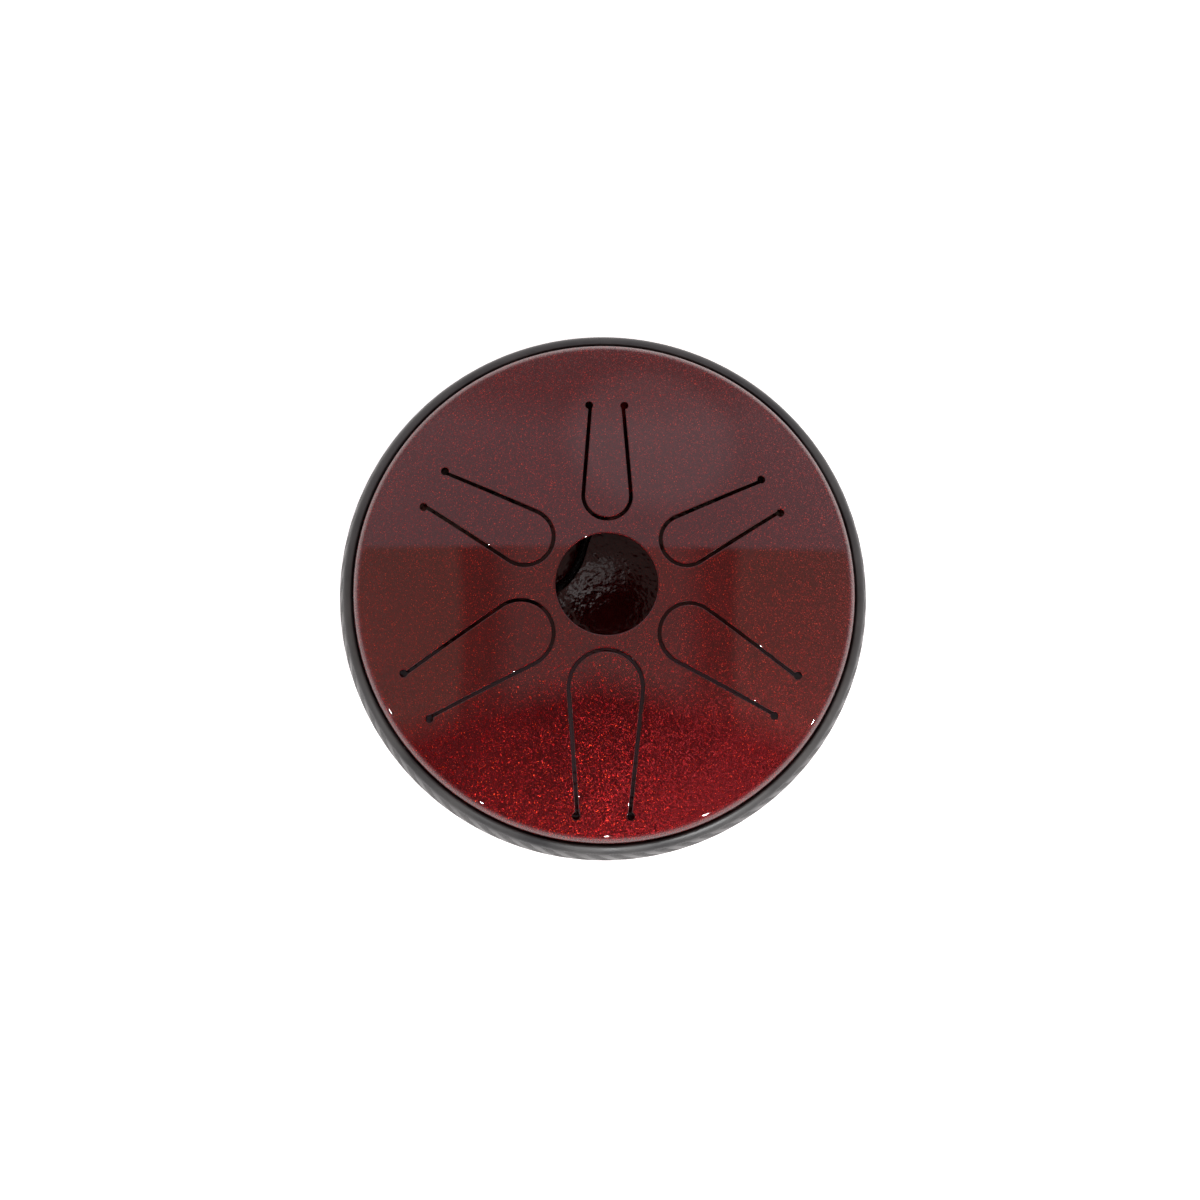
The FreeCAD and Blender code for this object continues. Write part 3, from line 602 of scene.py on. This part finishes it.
def dress_small_parts():
    foot = rubber("foot_rubber", (0.010, 0.010, 0.011), (0.030, 0.030, 0.031), 0.55)
    for place in ("back_right", "back_left", "front_left", "front_right"):
        dress("foot_" + place, foot)
    dress("foot_saddles", foot)
    zinc = plated("zinc_plate", (0.62, 0.62, 0.60), 0.28)
    for node in ("foot_screws", "foot_nuts", "foot_recess_washers", "foot_inner_washers",
                 "jack_terminals"):
        dress(node, zinc)
    nickel = plated("nickel_plate", (0.72, 0.69, 0.62), 0.16)
    dress("jack_sleeve", nickel)
    dress("jack_nut", nickel)
    dress("seam_weld", plated("weld_bead", (0.30, 0.28, 0.27), 0.42))
    dress("jack_body", moulded("jack_plastic", (0.022, 0.022, 0.024), 0.42))
    seal = rubber("jack_seal", (0.012, 0.012, 0.012), (0.03, 0.03, 0.03), 0.6)
    dress("jack_gasket", seal)
    dress("jack_washer", seal)
    dress("pickup_pad", moulded("foam_tape", (0.70, 0.68, 0.62), 0.75))
    dress("pickup_disc", plated("rolled_brass", (0.78, 0.56, 0.22), 0.25))
    dress("pickup_crystal", moulded("fired_ceramic", (0.74, 0.72, 0.66), 0.38))
    dress("pickup_cap", moulded("potting_resin", (0.018, 0.018, 0.02), 0.2))
    dress("pickup_lead", moulded("lead_jacket", (0.016, 0.015, 0.015), 0.16))


# ---- stage ----

def make_floor():
    """Plain pale floor that reaches past every view."""
    mesh = bpy.data.meshes.new("floor")
    reach = 6.0
    mesh.from_pydata([(-reach, -reach, 0), (reach, -reach, 0), (reach, reach, 0), (-reach, reach, 0)],
                     [], [(0, 1, 2, 3)])
    floor = bpy.data.objects.new("floor", mesh)
    bpy.context.scene.collection.objects.link(floor)
    material, _, shader, _ = new_material("studio_floor")
    shader.inputs["Base Color"].default_value = (0.86, 0.86, 0.86, 1)
    shader.inputs["Roughness"].default_value = 0.9
    shader.inputs["Specular IOR Level"].default_value = 0.0
    shader.inputs["Emission Color"].default_value = (1, 1, 1, 1)
    shader.inputs["Emission Strength"].default_value = 0.72
    mesh.materials.append(material)


def make_world():
    """Soft studio surround: a pale wall behind, warm panels at the sides and a dark front."""
    world = bpy.data.worlds.new("studio")
    bpy.context.scene.world = world
    graph = Graph(world)
    output = graph.add("ShaderNodeOutputWorld")
    sky = graph.add("ShaderNodeBackground", Strength=1.0)
    graph.join(sky, "Background", output, "Surface")
    place = graph.add("ShaderNodeTexCoord")
    axes = graph.add("ShaderNodeSeparateXYZ")
    graph.join(place, "Generated", axes, "Vector")
    across = graph.add("ShaderNodeMath", operation="ABSOLUTE")
    graph.join(axes, "X", across, 0)
    panels = graph.ramp([(0.0, (0.74, 0.54, 0.50)), (0.33, (0.66, 0.48, 0.44)), (0.44, (0.27, 0.21, 0.18)),
                         (0.53, (0.29, 0.22, 0.18)), (0.57, (0.62, 0.50, 0.41)), (1.0, (0.60, 0.50, 0.42))])
    graph.join(across, "Value", panels, "Fac")
    # a dark ceiling patch with one pale strip light, seen only down the sound hole
    overhead = graph.add("ShaderNodeVectorMath", operation="DISTANCE")
    overhead.inputs[1].default_value = (0.0, 0.10, 0.995)
    graph.join(place, "Generated", overhead, 0)
    patch = graph.ramp([(0.0, (1, 1, 1)), (0.15, (1, 1, 1)), (0.175, (0, 0, 0)), (1.0, (0, 0, 0))])
    graph.join(overhead, "Value", patch, "Fac")
    aslant = graph.add("ShaderNodeVectorMath", operation="DOT_PRODUCT")
    aslant.inputs[1].default_value = (-0.60, 0.80, 0.505)
    graph.join(place, "Generated", aslant, 0)
    strip = graph.ramp([(0.0, (0.02, 0.02, 0.02)), (0.400, (0.02, 0.02, 0.02)), (0.430, (4.2, 4.0, 4.0)),
                        (0.470, (4.2, 4.0, 4.0)), (0.500, (0.02, 0.02, 0.02)), (1.0, (0.02, 0.02, 0.02))])
    graph.join(aslant, "Value", strip, "Fac")
    # front (0) to back (1), the front reaching further in the middle than at the sides
    slanted = graph.add("ShaderNodeMath", operation="MULTIPLY_ADD")
    slanted.inputs[1].default_value = 0.2
    graph.join(across, "Value", slanted, 0)
    graph.join(axes, "Y", slanted, 2)
    nearness = graph.add("ShaderNodeMapRange")
    nearness.inputs["From Min"].default_value = -1.0
    graph.join(slanted, "Value", nearness, "Value")
    front = graph.ramp([(0.0, (1, 1, 1)), (0.33, (1, 1, 1)), (0.40, (0, 0, 0)), (1.0, (0, 0, 0))])
    graph.join(nearness, "Result", front, "Fac")
    sides = graph.add("ShaderNodeMix", data_type="RGBA")
    graph.tree.links.new(front.outputs["Color"], sides.inputs[0])
    graph.tree.links.new(panels.outputs["Color"], sides.inputs[6])
    sides.inputs[7].default_value = (0.05, 0.04, 0.042, 1.0)
    depth = graph.add("ShaderNodeMapRange")
    depth.inputs["From Min"].default_value = -1.0
    graph.join(axes, "Y", depth, "Value")
    wall = graph.ramp([(0.0, (0.88, 0.86, 0.92)), (0.66, (0.88, 0.86, 0.92)), (0.86, (0.90, 0.86, 0.92)),
                       (0.92, (0.56, 0.50, 0.52)), (1.0, (0.48, 0.44, 0.45))])
    graph.join(depth, "Result", wall, "Fac")
    # a wide soft pool of light on the wall
    aim = graph.add("ShaderNodeVectorMath", operation="DISTANCE")
    aim.inputs[1].default_value = (0.20, 0.70, 0.685)
    graph.join(place, "Generated", aim, 0)
    pool = graph.ramp([(0.0, (0.42, 0.40, 0.42)), (0.26, (0.34, 0.32, 0.34)), (0.36, (0, 0, 0)),
                       (1.0, (0, 0, 0))])
    graph.join(aim, "Value", pool, "Fac")
    lit = graph.add("ShaderNodeMix", data_type="RGBA", blend_type="ADD")
    lit.inputs[0].default_value = 1.0
    graph.tree.links.new(wall.outputs["Color"], lit.inputs[6])
    graph.tree.links.new(pool.outputs["Color"], lit.inputs[7])
    behind = graph.ramp([(0.0, (0, 0, 0)), (0.640, (0, 0, 0)), (0.650, (1, 1, 1)), (1.0, (1, 1, 1))])
    graph.join(depth, "Result", behind, "Fac")
    room = graph.add("ShaderNodeMix", data_type="RGBA")
    graph.tree.links.new(behind.outputs["Color"], room.inputs[0])
    graph.tree.links.new(sides.outputs[2], room.inputs[6])
    graph.tree.links.new(lit.outputs[2], room.inputs[7])
    ceiling = graph.add("ShaderNodeMix", data_type="RGBA")
    graph.tree.links.new(patch.outputs["Color"], ceiling.inputs[0])
    graph.tree.links.new(room.outputs[2], ceiling.inputs[6])
    graph.tree.links.new(strip.outputs["Color"], ceiling.inputs[7])
    horizon = graph.ramp([(0.0, (1, 1, 1)), (0.18, (1, 1, 1)), (0.34, (0, 0, 0)), (1.0, (0, 0, 0))])
    graph.join(axes, "Z", horizon, "Fac")
    blend = graph.add("ShaderNodeMix", data_type="RGBA")
    graph.tree.links.new(horizon.outputs["Color"], blend.inputs[0])
    graph.tree.links.new(ceiling.outputs[2], blend.inputs[6])
    blend.inputs[7].default_value = (0.60, 0.52, 0.56, 1.0)
    graph.tree.links.new(blend.outputs[2], sky.inputs["Color"])


def add_lamp(name, azimuth, elevation, distance, size, watts, colour=(1, 1, 1)):
    data = bpy.data.lights.new(name, "AREA")
    data.shape = "DISK"
    data.size = size
    data.energy = watts
    data.color = colour
    lamp = bpy.data.objects.new(name, data)
    turn, lift = math.radians(azimuth), math.radians(elevation)
    back = Vector((math.sin(turn) * math.cos(lift), -math.cos(turn) * math.cos(lift), math.sin(lift)))
    lamp.location = back * distance
    lamp.rotation_euler = back.to_track_quat("Z", "Y").to_euler()
    bpy.context.scene.collection.objects.link(lamp)
    return lamp


def light_the_stage():
    make_world()
    add_lamp("front_key", 30, 29, 1.6, 0.035, 11.5)
    add_lamp("front_fill", 3, 26, 1.6, 0.03, 7.5)
    add_lamp("left_fill", -32, 28, 1.6, 0.025, 3.0)
    add_lamp("right_edge", 66, 22, 1.6, 0.03, 2.2)
    add_lamp("left_edge", -66, 22, 1.6, 0.03, 2.2)
    scene = bpy.context.scene
    scene.view_settings.view_transform = "Standard"
    scene.view_settings.look = "None"


def build():
    make_camera()
    lacquer = flake_lacquer()
    inside_finish = overspray()
    # near-black rough metal for the walls of the cuts: painted shade, so the slots and holes read dark
    shaded_cut_wall = plated("cut_wall_painted_shade", (0.012, 0.006, 0.006), 0.75, 1.0)
    top_head(lacquer, inside_finish, shaded_cut_wall)
    bottom_head(lacquer, inside_finish, shaded_cut_wall)
    rubber_rim(rubber("rim_rubber", (0.012, 0.012, 0.013), (0.045, 0.043, 0.042), 0.38))
    dress_small_parts()
    make_floor()
    light_the_stage()


build()
